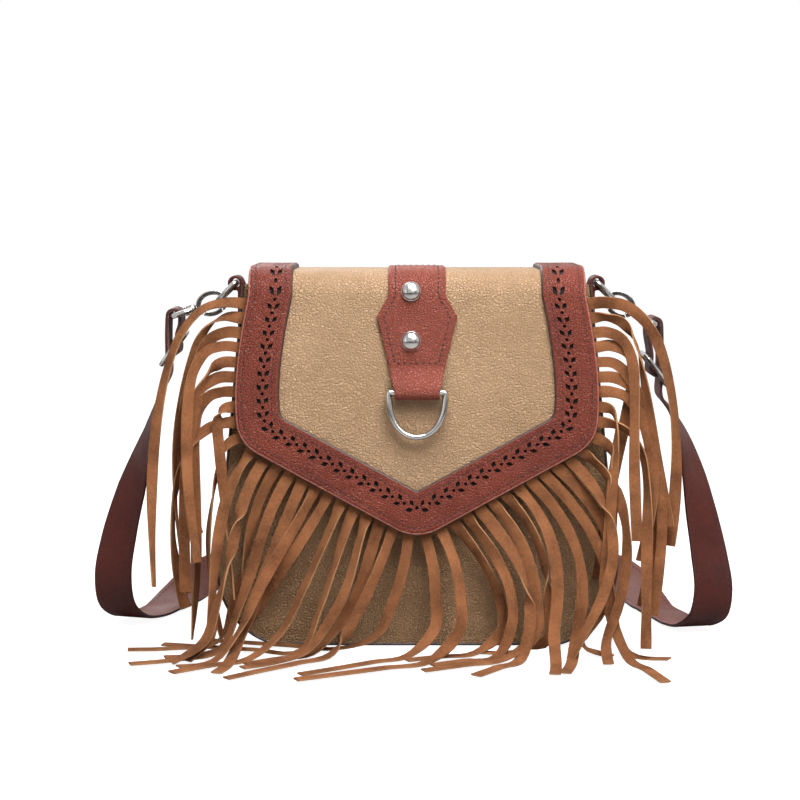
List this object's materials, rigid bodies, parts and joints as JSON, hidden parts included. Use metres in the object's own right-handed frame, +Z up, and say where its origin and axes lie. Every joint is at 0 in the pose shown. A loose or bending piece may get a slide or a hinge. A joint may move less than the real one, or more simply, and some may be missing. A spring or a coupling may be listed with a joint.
{
  "type": "fringed crossbody bag",
  "caption": "Small leather crossbody bag with a pointed flap, perforated border, suede fringe, ring tab and adjustable strap.",
  "frame": {"origin": "middle of the bag's base, on the surface that it stands on", "axes": "+Z up, +X to the bag's right as seen from the front, the front with the flap faces -Y"},
  "size_m": [0.3146, 0.2807, 0.1811],
  "materials": {
    "beige_leather": "pebbled, semi-matte",
    "rust_leather": "pebbled, semi-matte",
    "strap_leather": "smooth grain, semi-matte",
    "camel_suede": "suede nap, matte",
    "dark_cloth": "plain weave, matte",
    "polished_nickel": "polished"
  },
  "bodies": {
    "root": {"front_panel": "beige_leather", "back_panel": "beige_leather", "gusset": "beige_leather", "lining": "dark_cloth", "snap_body_half": "polished_nickel", "chape_left": "strap_leather", "chape_right": "strap_leather", "swivel_eye_left": "polished_nickel", "swivel_eye_right": "polished_nickel", "strap": "strap_leather", "slider_left": "polished_nickel", "slider_right": "polished_nickel"},
    "flap": {"flap_panel": "beige_leather", "flap_lining": "dark_cloth", "border_backing": "dark_cloth", "flap_border": "rust_leather", "flap_tab": "rust_leather", "rivet_upper": "polished_nickel", "rivet_lower": "polished_nickel", "snap_flap_half": "polished_nickel", "fringe": "camel_suede"},
    "front_ring": {"front_ring": "polished_nickel"},
    "side_ring_left": {"side_ring_left": "polished_nickel"},
    "snap_hook_left": {"snap_hook_left": "polished_nickel"},
    "hook_gate_left": {"hook_gate_left": "polished_nickel"},
    "side_ring_right": {"side_ring_right": "polished_nickel"},
    "snap_hook_right": {"snap_hook_right": "polished_nickel"},
    "hook_gate_right": {"hook_gate_right": "polished_nickel"}
  },
  "joints": [
    {"name": "flap_open", "type": "hinge", "parent": "root", "child": "flap", "pos_m": [0, 0.0306, 0.164], "axis": [-1, 0, 0], "range_deg": [0, 120]},
    {"name": "front_ring_swing", "type": "hinge", "parent": "flap", "child": "front_ring", "pos_m": [0, -0.043, 0.12219], "axis": [-1, 0, 0], "range_deg": [0, 150]},
    {"name": "side_ring_left_swing", "type": "hinge", "parent": "root", "child": "side_ring_left", "pos_m": [-0.08857, 0.009, 0.17161], "axis": [0, 1, 0], "range_deg": [-3, 3]},
    {"name": "snap_hook_left_turn", "type": "hinge", "parent": "root", "child": "snap_hook_left", "pos_m": [-0.09776, 0.009, 0.16241], "axis": [-0.9511, 0, -0.309], "range_deg": [-8, 8]},
    {"name": "hook_gate_left_open", "type": "hinge", "parent": "snap_hook_left", "child": "hook_gate_left", "pos_m": [-0.10425, 0.009, 0.15646], "axis": [0, -1, 0], "range_deg": [0, 5], "stiffness_Nm_per_rad": 0.01, "springref_deg": -11.46},
    {"name": "side_ring_right_swing", "type": "hinge", "parent": "root", "child": "side_ring_right", "pos_m": [0.08857, 0.009, 0.17161], "axis": [0, 1, 0], "range_deg": [-3, 3]},
    {"name": "snap_hook_right_turn", "type": "hinge", "parent": "root", "child": "snap_hook_right", "pos_m": [0.09776, 0.009, 0.16241], "axis": [0.866, 0, -0.5], "range_deg": [-8, 8]},
    {"name": "hook_gate_right_open", "type": "hinge", "parent": "snap_hook_right", "child": "hook_gate_right", "pos_m": [0.10287, 0.009, 0.15524], "axis": [0, 1, 0], "range_deg": [0, 5], "stiffness_Nm_per_rad": 0.01, "springref_deg": -11.46}
  ]
}
